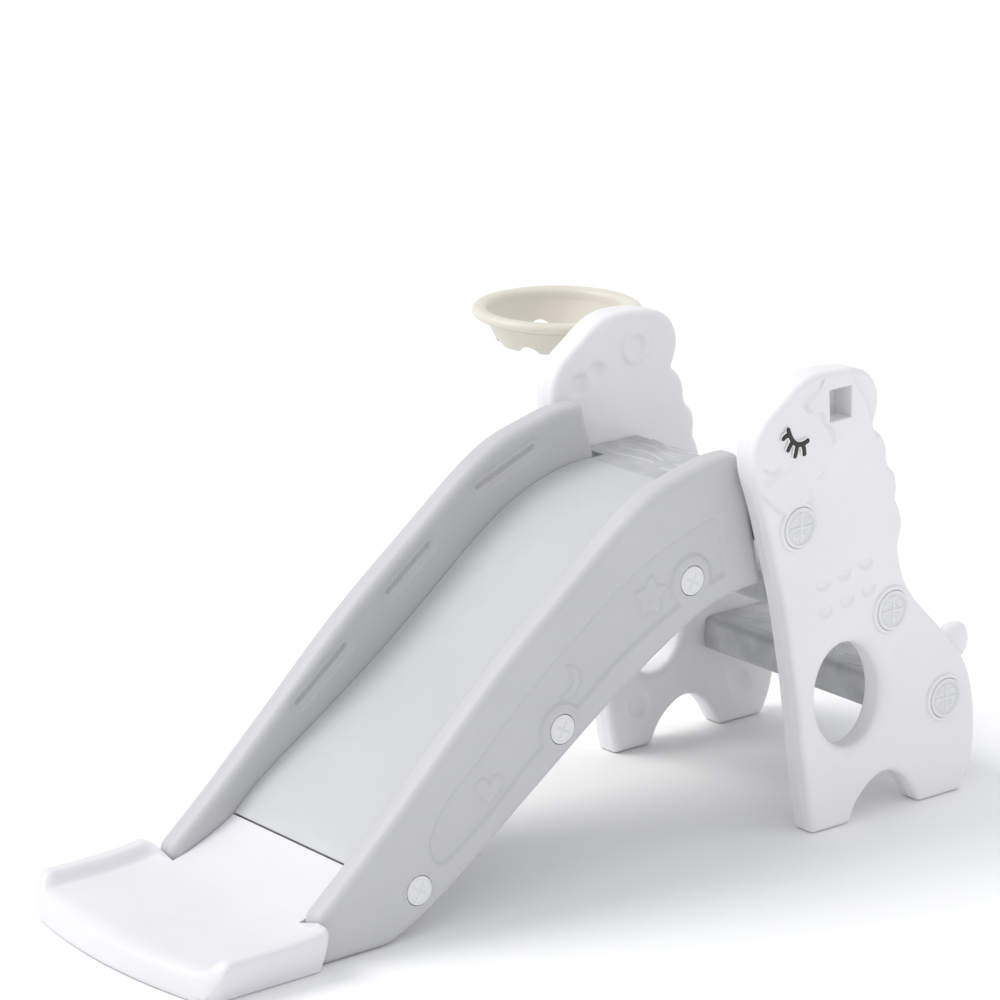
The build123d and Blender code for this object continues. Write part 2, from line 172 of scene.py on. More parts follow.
def soft_ring(stretches, softness, count=6000):
    """The stretches joined to a closed ring and blurred along it by a Gaussian, which rounds its corners."""
    ring = np.concatenate([np.asarray(s, float) for s in stretches])
    ring = even(np.concatenate([ring, ring[:1]]), count + 1)[:-1]
    step = np.linalg.norm(ring[1] - ring[0])
    waves = np.fft.fftfreq(count, step)
    blur = np.exp(-2 * (np.pi * waves * softness) ** 2)
    return np.fft.ifft(np.fft.fft(ring, axis=0) * blur[:, None], axis=0).real


def stretch(ring, start, end, count):
    """Part of a closed ring, from the place nearest start on to the place nearest end, evenly stepped."""
    first = np.linalg.norm(ring - start, axis=1).argmin()
    last = np.linalg.norm(ring - end, axis=1).argmin()
    turned = np.roll(ring, -first, axis=0)
    return even(turned[: (last - first) % len(ring) + 1], count)


def ease(depth, width=1.0):
    """0 up to zero, 1 from the width on, with a smooth ramp between."""
    share = np.clip(depth / width, 0, 1)
    return share * share * (3 - 2 * share)


def beside(points, line):
    """Distance of each point from an open line, its side (+1 to the left going along), and how far along."""
    line = np.asarray(line, float)
    start, run = line[:-1], np.diff(line, axis=0)
    off = points[..., None, :] - start
    share = np.clip((off * run).sum(-1) / (run**2).sum(-1), 0, 1)
    gap = np.linalg.norm(off - share[..., None] * run, axis=-1)
    side = np.sign(run[:, 0] * off[..., 1] - run[:, 1] * off[..., 0])
    nearest = gap.argmin(-1)[..., None]
    along = (np.take_along_axis(share, nearest, -1) + nearest)[..., 0] / len(run)
    return np.take_along_axis(gap, nearest, -1)[..., 0], np.take_along_axis(side, nearest, -1)[..., 0], along


def depth_inside(points, loop):
    """Distance from a closed outline, positive inside it: even-odd crossings give the sign."""
    loop = np.asarray(loop, float)
    closed = np.concatenate([loop, loop[:1]])
    gap = beside(points, closed)[0]
    a, b = closed[:-1], closed[1:]
    rise = np.where(b[:, 1] == a[:, 1], 1e-9, b[:, 1] - a[:, 1])
    x, y = points[..., 0:1], points[..., 1:2]
    crosses = ((a[:, 1] > y) != (b[:, 1] > y)) & (x < a[:, 0] + (y - a[:, 1]) * (b[:, 0] - a[:, 0]) / rise)
    return np.where(crosses.sum(-1) % 2 == 1, gap, -gap)


def into_ellipse(points, centre, radii, lean):
    """About how far each point is from an ellipse, positive outside: its level value over its slope."""
    turn = np.array([[math.cos(lean), -math.sin(lean)], [math.sin(lean), math.cos(lean)]])
    local = (points - centre) @ turn
    level = np.maximum(np.linalg.norm(local / radii, axis=-1), 1e-6)
    slope = np.linalg.norm(local / radii**2, axis=-1) / level
    return (level - 1) / np.maximum(slope, 1e-6)


def rolled_edge(gap, radius, drop):
    """How far a face has rolled down at a distance from its edge: a quarter of an ellipse."""
    return drop * (1 - np.sqrt(1 - np.clip(1 - gap / radius, 0, 1) ** 2))


def build(name, sheets, paint, body="slide", stands_for=(), crease=None):
    """One mesh from sheets of points, each rows x columns x (across, behind, height). Four neighbours make
    a face, points that coincide are merged, and the faces are turned outwards."""
    corners, quads, start = [], [], 0
    for sheet in sheets:
        rows, columns = sheet.shape[:2]
        number = start + np.arange(rows * columns).reshape(rows, columns)
        faces = np.stack([number[:-1, :-1], number[:-1, 1:], number[1:, 1:], number[1:, :-1]], -1)
        quads.append(faces.reshape(-1, 4))
        corners.append(sheet.reshape(-1, 3))
        start += rows * columns
    metres = (np.concatenate(corners) + (CHUTE_MIDDLE, FOOT_TIP, 0)) / 1000
    mesh = bpy.data.meshes.new(name)
    mesh.from_pydata(metres.tolist(), [], np.concatenate(quads).tolist())
    shell = bmesh.new()
    shell.from_mesh(mesh)
    bmesh.ops.remove_doubles(shell, verts=shell.verts, dist=2e-5)
    bmesh.ops.dissolve_degenerate(shell, dist=1e-6, edges=shell.edges)
    bmesh.ops.recalc_face_normals(shell, faces=shell.faces)
    shell.to_mesh(mesh)
    shell.free()
    mesh.shade_smooth()
    if crease is not None:
        mesh.set_sharp_from_angle(angle=math.radians(crease))
    mesh.materials.append(paint)
    piece = bpy.data.objects.new(name, mesh)
    scene.collection.objects.link(piece)
    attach(piece, body)
    if stands_for:
        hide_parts(*stands_for)
    return piece


def plate_sheets(ring, inner, middle, half, side, outer_lift, inner_lift, rim, outer_rows, inner_rows,
                 crowd=1.4):
    """Both faces of a thick plate. Columns follow its closed outline; rows go from the parting line round
    a quarter-circle rim, then straight across to the matching place on the inner line, where they may
    crowd together."""
    ahead = np.roll(ring, -1, axis=0) - np.roll(ring, 1, axis=0)
    ahead /= np.linalg.norm(ahead, axis=1)[:, None]
    waves = np.fft.fftfreq(len(ring))
    blur = np.exp(-2 * (np.pi * waves * RIM_BLUR) ** 2)[:, None]
    ahead = np.fft.ifft(np.fft.fft(ahead, axis=0) * blur, axis=0).real
    ahead /= np.linalg.norm(ahead, axis=1)[:, None]
    inward = np.stack([ahead[:, 1], -ahead[:, 0]], 1)
    sheets = []
    for face, lift, rows in ((1, outer_lift, outer_rows), (-1, inner_lift, inner_rows)):
        turn = np.linspace(0, np.pi / 2, 9)[:, None]
        inset = np.concatenate([[[0.0]], [[PARTING_INSET]],
                                PARTING_INSET + (rim - PARTING_INSET) * (1 - np.cos(turn))])
        level = np.concatenate([[[0.0]], [[PARTING_LEVEL]], half - rim + rim * np.sin(turn)])
        edge = ring + inward * inset[..., None]
        share = (1 - (1 - np.linspace(0, 1, rows)[1:]) ** crowd)[:, None, None]
        flat = edge[-1] * (1 - share) + inner * share
        places = np.concatenate([edge, flat])
        level = np.concatenate([np.broadcast_to(level, edge.shape[:2]), np.full(flat.shape[:2], half)])
        level = level * (1 + lift(places) / half)
        sheet = np.concatenate([(side * (middle + face * level))[..., None], places], -1)
        sheets.append(np.concatenate([sheet, sheet[:, :1]], 1))
    return sheets


def wall_sheet(loop, from_across, to_across, rows=6):
    """A straight wall across the plate, under every point of a closed loop."""
    share = np.linspace(0, 1, rows)[:, None]
    across = from_across * (1 - share) + to_across * share
    across = np.broadcast_to(across, (rows, len(loop)))
    return np.concatenate([across[..., None], np.broadcast_to(loop, (rows, *loop.shape))], -1)


def cap_sheet(loop, across, rows=8):
    """Closes a loop: rings that shrink evenly to its middle."""
    share = np.linspace(0, 1, rows)[:, None, None]
    middle = (loop.min(0) + loop.max(0)) / 2
    rings = loop * (1 - share) + middle * share
    return np.concatenate([np.broadcast_to(across, rings.shape[:2])[..., None], rings], -1)


chest = curve_through([(-8, 0), (-20, 65), (-30, 130), (-40, 200), (-53, 270), (-67, 336), (-84, 394),
                       (-97, 440), (-109, 476), (-121, 512), (-121, 546), (-106, 574), (-80, 594),
                       (-56, 612), (-28, 625), (10, 627), (48, 623), (76, 613), (95, 590), (98, 562),
                       (88, 536)])
curls = [(88, 536), (99, 528.5), (108, 516), (112, 504), (111.5, 491.5), (116, 480), (127, 471), (131, 458),
         (131.5, 446), (129, 434), (137, 420), (143, 403), (141.5, 387), (136, 371)]
rump = curve_through([(136, 371), (146, 330), (168, 292), (203, 256), (236, 221), (265, 185), (284, 130),
                      (288, 85), (283, 40), (266, 0)])
arch = curve_through([(186, 0), (174, 22), (152, 47), (122, 58), (92, 46), (68, 20), (60, 0)])
panel_ring = soft_ring([chest, curls, rump, arch], softness=4.5)

angle = np.linspace(0, 2 * np.pi, 721)[:-1] - np.pi / 2
lean = np.array([[math.cos(BELLY_LEAN), math.sin(BELLY_LEAN)],
                 [-math.sin(BELLY_LEAN), math.cos(BELLY_LEAN)]])
belly_ring = (np.stack([-np.cos(angle), np.sin(angle)], 1) * BELLY_RADII) @ lean + BELLY_CENTRE
hole_high = belly_ring[360]
(front, low), (rear, high) = SOCKET_LOW, SOCKET_HIGH
socket_foot = ((front + rear) / 2, low)
socket_sides = [(socket_foot, (front, low), 17), ((front, low), (front, high), 33),
                ((front, high), (rear, high), 31), ((rear, high), (rear, low), 33),
                ((rear, low), socket_foot, 17)]
socket_loop = np.concatenate([even(np.array(run[:2]), run[2])[:-1] for run in socket_sides])
around_front = ((ARCH_TOP, FORE_HEEL, 0, 30, 45), (FORE_HEEL, FORE_TOE, 30, 95, 45),
                (FORE_TOE, THROAT, 95, 360, 130))
around_back = ((RUMP, HIND_HEEL, 360, 540, 150), (HIND_HEEL, HIND_TOE, 540, 560, 50),
               (HIND_TOE, ARCH_TOP, 560, 720, 45))
belly_closed = np.concatenate([belly_ring, belly_ring[:1]])
slit = even(np.array([hole_high, socket_foot]), 110)


def paired(runs):
    """Matching stretches of the outline and of the belly hole, from one named place to the next."""
    outline = [stretch(panel_ring, start, end, count)[:-1] for start, end, first, last, count in runs]
    hole = [even(belly_closed[first:last + 1], count)[:-1] for start, end, first, last, count in runs]
    return np.concatenate(outline), np.concatenate(hole)


front_outline, front_hole = paired(around_front)
back_outline, back_hole = paired(around_back)
panel_line = np.concatenate([front_outline, stretch(panel_ring, THROAT, CHEEK, 110)[:-1],
                             stretch(panel_ring, CHEEK, NAPE, len(socket_loop) + 1)[:-1],
                             stretch(panel_ring, NAPE, RUMP, 110)[:-1], back_outline])
inner_line = np.concatenate([front_hole, slit[:-1], socket_loop, slit[::-1][:-1], back_hole])

CHIN = curve_through([(-115.4, 499.4), (-107.5, 479.4), (-96.1, 467.2), (-79, 453.9), (-62.1, 450),
                      (-47.2, 453.7), (-30.2, 453.4)], 6)
FORELOCK = curve_through([(-43.4, 594.8), (-38.5, 586.8), (-29.9, 578.2), (-14.7, 574.9), (-8, 568),
                          (-4.9, 559.5), (4.8, 550.7), (9.8, 542.6), (12, 532.1), (11.3, 522.2)], 5)
EAR_EDGE = curve_through([(44, 622), (47, 608), (60, 589), (75, 563), (82, 543), (86, 528)], 6)
NOSTRIL = [(-105.6, 518.3), (-99, 512.1), (-91.5, 509.3), (-84.1, 510.1), (-79.6, 515.7)]
CHEEK_MARK = [(-7.1, 506.8), (-3.6, 500.4), (-4.9, 493.4), (-12.4, 490.4)]
JAW_MARK = [(-26.1, 475.7), (-23.4, 466.5), (-23.8, 459.4)]
WOOL_MARKS = [(37.5 * i + 6 * row, 341 + 7.5 * i - 38 * row) for i in range(3) for row in range(2)]
moon = np.linspace(np.pi, 2 * np.pi, 13)
HALF_MOON = np.stack([13 * np.cos(moon), 13 * np.sin(moon) + 6], 1)
LID = [(-70.6, 566.1), (-67.6, 557.8), (-62.7, 549), (-56, 542.6), (-48.5, 540.1), (-41, 540.9),
       (-32.3, 544.1)]
LASHES = [[(-66, 555), (-73, 555.5), (-79.5, 550.5)], [(-61, 547), (-66, 541), (-70.5, 533.5)],
          [(-53, 542), (-55, 533), (-57.5, 523)], [(-44, 541), (-41.5, 532), (-40.5, 523)]]


def one_sided_step(points, line, height, fade):
    """A raised area on the left of a line: a quick step up at the line, which dies away behind it and
    towards the line's ends."""
    gap, side, along = beside(points, line)
    ends = ease(along, 0.12) * ease(1 - along, 0.12)
    return height * ends * ease(gap * side + 1.0, 3.0) * np.exp(-np.maximum(gap * side, 0) / fade)


def groove(points, line, depth, width):
    """A soft groove along a line: a bell curve of the distance from it."""
    return -depth * np.exp(-(beside(points, line)[0] / width) ** 2)


def outer_face(points):
    """Relief of a panel's outer face: the sum of its raised face, forelock, ear, marks, bolt seats and
    the rolled edges of the belly hole and the socket."""
    lift = one_sided_step(points, CHIN, CHIN_HIGH, CHIN_FADE)
    lift += one_sided_step(points, FORELOCK, FORELOCK_HIGH, FORELOCK_FADE)
    gap, side, _ = beside(points, EAR_EDGE)
    lift -= EAR_DEEP * ease(gap * side + 1.0, 4.0) * ease(points[..., 1] - EAR_FROM, EAR_EASE)
    for line, depth in ((NOSTRIL, 3.0), (CHEEK_MARK, 2.2), (JAW_MARK, 2.0)):
        lift += groove(points, curve_through(line, 3), depth, 2.6)
    for place in WOOL_MARKS:
        lift -= WOOL_DEEP * ease(depth_inside(points - place, HALF_MOON) + 0.8, 3.0)
    for place in BOLTS.values():
        gap = np.linalg.norm(points - place, axis=-1) - BOLT_RADIUS
        lift -= BOLT_SEAT_DEEP * (1 - ease(gap - 1.0, 4.0))
    lift -= rolled_edge(into_ellipse(points, BELLY_CENTRE, BELLY_RADII, BELLY_LEAN), HOLE_ROLL, HOLE_DROP)
    outside = np.maximum(np.abs(points - (np.array(SOCKET_LOW) + SOCKET_HIGH) / 2)
                         - (np.array(SOCKET_HIGH) - SOCKET_LOW) / 2, 0)
    lift -= rolled_edge(np.linalg.norm(outside, axis=-1), 2.5, 1.5)
    return lift - FACE_BACK + 0.35 * np.sin(points[..., 0] / 37) * np.cos(points[..., 1] / 51)


def inner_face(points):
    """Relief of a panel's inner face: tack-off dimples, a boss behind the socket, the hole's rolled edge."""
    lift = -0.6 + 0.3 * np.cos(points[..., 0] / 43) * np.sin(points[..., 1] / 39)
    for place, radius in (((-78, 538), 19), ((-48, 553), 16), ((34, 64), 21), ((219, 60), 21)):
        lift -= 5.0 * ease(radius - np.linalg.norm(points - np.array(place), axis=-1), 9.0)
    ring = np.linalg.norm(points - (20, 577), axis=-1)
    lift += 2.4 * ease(27 - ring, 6.0) - 3.0 * ease(17 - ring, 6.0)
    return lift - rolled_edge(into_ellipse(points, BELLY_CENTRE, BELLY_RADII, BELLY_LEAN), 14, 10)


def noise(nodes, links, place, scale, detail=2.0, roughness=0.5):
    """Noise texture on a place output, in features per metre; returns its factor output."""
    texture = nodes.new("ShaderNodeTexNoise")
    texture.inputs["Scale"].default_value = scale
    texture.inputs["Detail"].default_value = detail
    texture.inputs["Roughness"].default_value = roughness
    links.new(place, texture.inputs["Vector"])
    return texture.outputs["Fac"]


def arithmetic(nodes, links, operation, *values):
    """A Math node of that operation; each value is a number or another node's output."""
    node = nodes.new("ShaderNodeMath")
    node.operation = operation
    for socket, value in zip(node.inputs, values):
        if isinstance(value, (int, float)):
            socket.default_value = value
        else:
            links.new(value, socket)
    return node.outputs["Value"]


def ramp(nodes, links, value, low, high, to_low=0.0, to_high=1.0):
    """A clamped straight map of a value from low..high to to_low..to_high."""
    node = nodes.new("ShaderNodeMapRange")
    for socket, number in (("From Min", low), ("From Max", high), ("To Min", to_low), ("To Max", to_high)):
        node.inputs[socket].default_value = number
    links.new(value, node.inputs["Value"])
    return node.outputs["Result"]


def new_group(name, inputs, outputs):
    """An empty shader node group with those sockets: (name, kind, default)."""
    group = bpy.data.node_groups.new(name, "ShaderNodeTree")
    for label, kind, start in inputs:
        socket = group.interface.new_socket(name=label, in_out="INPUT", socket_type=kind)
        socket.default_value = start
    for label, kind in outputs:
        group.interface.new_socket(name=label, in_out="OUTPUT", socket_type=kind)
    return group, group.nodes.new("NodeGroupInput"), group.nodes.new("NodeGroupOutput")


# Moulded skin: the mould's fine pebble, a slow swell of cooling shrinkage, and faint flow clouds.
skin, skin_in, skin_out = new_group(
    "moulded_skin",
    (("Pebble Size", "NodeSocketFloat", 900.0), ("Pebble", "NodeSocketFloat", 0.5),
     ("Swell", "NodeSocketFloat", 0.5)),
    (("Height", "NodeSocketFloat"), ("Cloud", "NodeSocketFloat")))
nodes, links = skin.nodes, skin.links
where = nodes.new("ShaderNodeTexCoord").outputs["Object"]
pebble = nodes.new("ShaderNodeTexVoronoi")
pebble.feature = "SMOOTH_F1"
links.new(where, pebble.inputs["Vector"])
links.new(skin_in.outputs["Pebble Size"], pebble.inputs["Scale"])
fine = noise(nodes, links, where, 2600.0, 3.0)
swell = noise(nodes, links, where, 16.0, 1.0)
grain = arithmetic(nodes, links, "MULTIPLY_ADD", fine, 0.35, pebble.outputs["Distance"])
grain = arithmetic(nodes, links, "MULTIPLY", grain, skin_in.outputs["Pebble"])
slow = arithmetic(nodes, links, "MULTIPLY", swell, skin_in.outputs["Swell"])
links.new(arithmetic(nodes, links, "MULTIPLY_ADD", slow, 14.0, grain), skin_out.inputs["Height"])
links.new(noise(nodes, links, where, 5.5, 4.0, 0.6), skin_out.inputs["Cloud"])

# Handling wear: edges rubbed pale and smooth, small scuffs in short streaks, and dust lying on what
# faces up.
wear, wear_in, wear_out = new_group(
    "handling_wear",
    (("Colour", "NodeSocketColor", (0.8, 0.8, 0.8, 1)),
     ("Rubbed Colour", "NodeSocketColor", (0.9, 0.9, 0.9, 1)),
     ("Dust Colour", "NodeSocketColor", (0.6, 0.58, 0.55, 1)), ("Cloud", "NodeSocketFloat", 0.5),
     ("Base Roughness", "NodeSocketFloat", 0.4), ("Edge", "NodeSocketFloat", 0.5),
     ("Scuff", "NodeSocketFloat", 0.4), ("Dust", "NodeSocketFloat", 0.1)),
    (("Colour", "NodeSocketColor"), ("Roughness", "NodeSocketFloat"), ("Scratch", "NodeSocketFloat")))
nodes, links = wear.nodes, wear.links
where = nodes.new("ShaderNodeTexCoord").outputs["Object"]
surface = nodes.new("ShaderNodeNewGeometry")
edges = ramp(nodes, links, surface.outputs["Pointiness"], 0.51, 0.58)
patches = ramp(nodes, links, noise(nodes, links, where, 22.0, 5.0, 0.65), 0.42, 0.68)
edges = arithmetic(nodes, links, "MULTIPLY", edges, patches)
edges = arithmetic(nodes, links, "MULTIPLY", edges, wear_in.outputs["Edge"])
streaks = nodes.new("ShaderNodeMapping")
streaks.inputs["Rotation"].default_value = (0.62, 0.0, 0.25)
streaks.inputs["Scale"].default_value = (260.0, 14.0, 260.0)
links.new(where, streaks.inputs["Vector"])
scratch = noise(nodes, links, streaks.outputs["Vector"], 1.0, 2.0)
scratch = ramp(nodes, links, scratch, 0.68, 0.78)
bare = ramp(nodes, links, noise(nodes, links, where, 9.0), 0.5, 0.62)
scratch = arithmetic(nodes, links, "MULTIPLY", scratch, bare)
scratch = arithmetic(nodes, links, "MULTIPLY", scratch, wear_in.outputs["Scuff"])
facing = nodes.new("ShaderNodeSeparateXYZ")
links.new(surface.outputs["Normal"], facing.inputs["Vector"])
dust = ramp(nodes, links, facing.outputs["Z"], 0.35, 1.0)
settled = ramp(nodes, links, noise(nodes, links, where, 60.0, 6.0, 0.7), 0.35, 0.75)
dust = arithmetic(nodes, links, "MULTIPLY", dust, settled)
dust = arithmetic(nodes, links, "MULTIPLY", dust, wear_in.outputs["Dust"])


def blend_colour(nodes, links, share, first, second):
    """Mixes two colour outputs by a share output; returns the mixed colour."""
    node = nodes.new("ShaderNodeMix")
    node.data_type = "RGBA"
    links.new(share, node.inputs["Factor"])
    links.new(first, node.inputs["A"])
    links.new(second, node.inputs["B"])
    return node.outputs["Result"]


tone = nodes.new("ShaderNodeHueSaturation")
links.new(wear_in.outputs["Colour"], tone.inputs["Color"])
links.new(ramp(nodes, links, wear_in.outputs["Cloud"], 0.3, 0.7, 0.975, 1.025), tone.inputs["Value"])
coloured = blend_colour(nodes, links, edges, tone.outputs["Color"], wear_in.outputs["Rubbed Colour"])
coloured = blend_colour(nodes, links, scratch, coloured, wear_in.outputs["Rubbed Colour"])
coloured = blend_colour(nodes, links, dust, coloured, wear_in.outputs["Dust Colour"])
links.new(coloured, wear_out.inputs["Colour"])
gloss = arithmetic(nodes, links, "MULTIPLY_ADD", edges, -0.12, wear_in.outputs["Base Roughness"])
gloss = arithmetic(nodes, links, "MULTIPLY_ADD", scratch, 0.25, gloss)
gloss = arithmetic(nodes, links, "MULTIPLY_ADD", dust, 0.5, gloss)
uneven = ramp(nodes, links, wear_in.outputs["Cloud"], 0.3, 0.7, -0.03, 0.03)
gloss = arithmetic(nodes, links, "ADD", gloss, uneven)
links.new(gloss, wear_out.inputs["Roughness"])
links.new(scratch, wear_out.inputs["Scratch"])


def moulded_plastic(name, colour, rubbed, roughness, pebble_size=900.0, pebble=0.5, swell=0.5, edge=0.5,
                    scuff=0.4, dust=0.08, bump=0.00012, coat=0.0):
    """Polyethylene as it leaves the mould: colour and roughness through the wear group, bump from the
    skin group. Colours are linear."""
    paint = bpy.data.materials.new(name)
    paint.use_nodes = True
    nodes, links = paint.node_tree.nodes, paint.node_tree.links
    shader = nodes["Principled BSDF"]
    shader.inputs["IOR"].default_value = 1.5
    shader.inputs["Specular IOR Level"].default_value = 0.4
    if coat:
        shader.inputs["Coat Weight"].default_value = coat
        shader.inputs["Coat Roughness"].default_value = 0.25
    skin_node, wear_node = nodes.new("ShaderNodeGroup"), nodes.new("ShaderNodeGroup")
    skin_node.node_tree, wear_node.node_tree = skin, wear
    for socket, value in (("Pebble Size", pebble_size), ("Pebble", pebble), ("Swell", swell)):
        skin_node.inputs[socket].default_value = value
    for socket, value in (("Colour", (*colour, 1)), ("Rubbed Colour", (*rubbed, 1)),
                          ("Base Roughness", roughness), ("Edge", edge), ("Scuff", scuff), ("Dust", dust)):
        wear_node.inputs[socket].default_value = value
    links.new(skin_node.outputs["Cloud"], wear_node.inputs["Cloud"])
    links.new(wear_node.outputs["Colour"], shader.inputs["Base Color"])
    links.new(wear_node.outputs["Roughness"], shader.inputs["Roughness"])
    relief = nodes.new("ShaderNodeBump")
    relief.inputs["Strength"].default_value = 0.6
    relief.inputs["Distance"].default_value = bump
    height = arithmetic(nodes, links, "MULTIPLY_ADD", wear_node.outputs["Scratch"], -1.5,
                        skin_node.outputs["Height"])
    links.new(height, relief.inputs["Height"])
    links.new(relief.outputs["Normal"], shader.inputs["Normal"])
    return paint


panel_white = moulded_plastic("panel_white", (0.85, 0.84, 0.85), (0.88, 0.88, 0.88), 0.42, edge=0.35)
for name, side in SIDES.items():
    sheets = plate_sheets(panel_line, inner_line, PANEL_MIDDLE, PANEL_THICKNESS / 2, side, outer_face,
                          inner_face, PANEL_RIM, outer_rows=60, inner_rows=26)
    outer, inner = sheets
    last_front, first_back = len(front_hole) + 1, -len(back_hole) - 1
    outer_edge = np.concatenate([outer[-1, :last_front], outer[-1, first_back:]])
    inner_edge = np.concatenate([inner[-1, :last_front], inner[-1, first_back:]])
    share = np.linspace(0, 1, 7)[:, None, None]
    sheets.append(outer_edge * (1 - share) + inner_edge * share)
    first_socket = len(front_hole) + len(slit) - 1
    socket_columns = slice(first_socket, first_socket + len(socket_loop) + 1)
    mouth = outer[-1, socket_columns]
    floor_across = side * (PANEL_OUTSIDE - SOCKET_DEEP)
    bottom = mouth.copy()
    bottom[:, 0] = floor_across
    share = np.linspace(0, 1, 9)[:, None, None]
    sheets.append(mouth * (1 - share) + bottom * share)
    sheets.append(cap_sheet(bottom[:, 1:], floor_across))
    back = inner[-1, socket_columns]
    middle = np.array([side * (PANEL_OUTSIDE - PANEL_THICKNESS),
                       *(back[:, 1:].min(0) + back[:, 1:].max(0)) / 2])
    cover = back * (1 - share) + middle * share
    half = PANEL_THICKNESS / 2
    cover[..., 0] = side * (PANEL_MIDDLE - half * (1 + inner_face(cover[..., 1:]) / half))
    sheets.append(cover)
    build(f"side_panel_{name}_shell", sheets, panel_white, stands_for=[f"side_panel_{name}"],
          crease=50)

# Tails: a small rounded knob behind each rump, thinner than the panel and moulded in one with it.

TAIL_MIDDLE, TAIL_RADII, TAIL_INWARD = (260.0, 208.0), (14.0, 25.0, 26.0), 3
for name, side in SIDES.items():
    around, up = np.meshgrid(np.linspace(0, 2 * np.pi, 65), np.linspace(-np.pi / 2, np.pi / 2, 33))
    plump = np.abs(np.cos(up)) ** 0.8
    sideways = np.sign(np.cos(around)) * np.abs(np.cos(around)) ** 0.8 * plump
    across = side * (PANEL_MIDDLE - TAIL_INWARD + TAIL_RADII[0] * sideways)
    behind = TAIL_MIDDLE[0] + TAIL_RADII[1] * np.sin(around) * plump
    height = TAIL_MIDDLE[1] + TAIL_RADII[2] * np.sin(up)
    build(f"tail_{name}", [np.stack([across, behind, height], -1)], panel_white)

# ---------------------------------------------------------------- closed eyes
# A lid and four lashes on each head, moulded in black and pressed into the panel: every stroke is a low
# rounded bead with a fine channel along its crown, lying on a slightly wider white bead.

STROKE_HALF, STROKE_HIGH, STROKE_BORDER, BORDER_HIGH = 3.5, 2.0, 1.6, 0.9
STROKE_BACK, BORDER_BACK, BEAD_FOOT = 0.4, 0.6, 2.0
eye_black = moulded_plastic("eye_black", (0.012, 0.012, 0.013), (0.05, 0.05, 0.05), 0.34, pebble=0.2,
                            swell=0.2, edge=0.3, scuff=0.3, dust=0.05, coat=0.3)


def bead_sheet(line, half_width, height, channel, across, side):
    """A closed bead along a line: a half-ellipse section, narrowed to its round ends, with a shallow
    channel along the crown and a flat underside."""
    path = even(curve_through(line, 0.5), 60)
    ahead = np.gradient(path, axis=0)
    ahead /= np.linalg.norm(ahead, axis=1)[:, None]
    leftward = np.stack([-ahead[:, 1], ahead[:, 0]], 1)
    along = np.linspace(0, np.linalg.norm(np.diff(path, axis=0), axis=1).sum(), 60)
    end = np.minimum(along, along[::-1])
    narrow = np.sqrt(np.clip(1 - np.clip(1 - end / half_width, 0, 1) ** 2, 0, 1))
    turn = np.linspace(0, np.pi, 17)
    offset, rise = np.cos(turn), np.sin(turn) - channel * np.exp(-(np.cos(turn) / 0.22) ** 2)
    places = path[:, None] + leftward[:, None] * (half_width * narrow[:, None] * offset)[..., None]
    top = side * (across + height * narrow[:, None] * rise)
    base = np.broadcast_to(side * (across - BEAD_FOOT), top.shape)
    upper = np.concatenate([top[..., None], places], -1)
    lower = np.concatenate([base[..., None], places], -1)
    rims = [np.stack([upper[:, k], lower[:, k]]) for k in (0, -1)]
    return [upper, lower, *rims]


for name, side in SIDES.items():
    strokes = [LID, *LASHES]
    black = [sheet for s in strokes
             for sheet in bead_sheet(s, STROKE_HALF, STROKE_HIGH, 0.32, PANEL_OUTSIDE - STROKE_BACK, side)]
    white = [sheet for s in strokes
             for sheet in bead_sheet(s, STROKE_HALF + STROKE_BORDER, BORDER_HIGH, 0.0,
                                     PANEL_OUTSIDE - BORDER_BACK, side)]
    build(f"eye_{name}", black, eye_black, stands_for=[f"eye_inlay_{name}"])
    build(f"eye_border_{name}", white, panel_white)

# ---------------------------------------------------------------- large bolts
# Round white caps, a hand's turn to undo: a raised rim, a dished face with a cross and four petals, and
# a thick shank that screws into a bush in the step. Each sits in a turned seat in the panel.

bolt_white = moulded_plastic("bolt_white", (0.80, 0.80, 0.82), (0.90, 0.90, 0.90), 0.33, pebble=0.25,
                             swell=0.2, edge=0.6, scuff=0.3)


def shank_sheets(centre, radius, near, far):
    """A plain round shank from one across to another: a circle carried along it, closed at both ends."""
    angle = np.linspace(0, 2 * np.pi, 49)
    ring = np.stack([centre[0] + radius * np.cos(angle), centre[1] + radius * np.sin(angle)], -1)
    return [wall_sheet(ring, near, far, 3), cap_sheet(ring, far, 3), cap_sheet(ring, near, 3)]


def disc_sheets(centre, radius, face, proud, deep, side, relief, rings=44, steps=96):
    """A round cap: rings from its middle out to a rolled rim, then down its skirt and closed below.
    relief(radius share, angle) lifts the face."""
    turn = np.linspace(0, np.pi / 2, 7)[1:]
    share = np.concatenate([np.linspace(0, 0.93, rings), 0.93 + 0.07 * np.sin(turn)])
    roll = np.concatenate([np.zeros(rings), 1 - np.cos(turn)]) * 0.07 * radius
    angle = np.linspace(0, 2 * np.pi, steps + 1)
    share_grid, angle_grid = np.meshgrid(share, angle, indexing="ij")
    level = face + proud - roll[:, None] + relief(share_grid, angle_grid)
    behind = centre[0] + radius * share_grid * np.cos(angle_grid)
    height = centre[1] + radius * share_grid * np.sin(angle_grid)
    top = np.stack([side * level, behind, height], -1)
    skirt = np.stack([top[-1], top[-1]])
    skirt[1, :, 0] = side * (face - deep)
    return [top, skirt, cap_sheet(skirt[1, :, 1:], side * (face - deep), 3)]


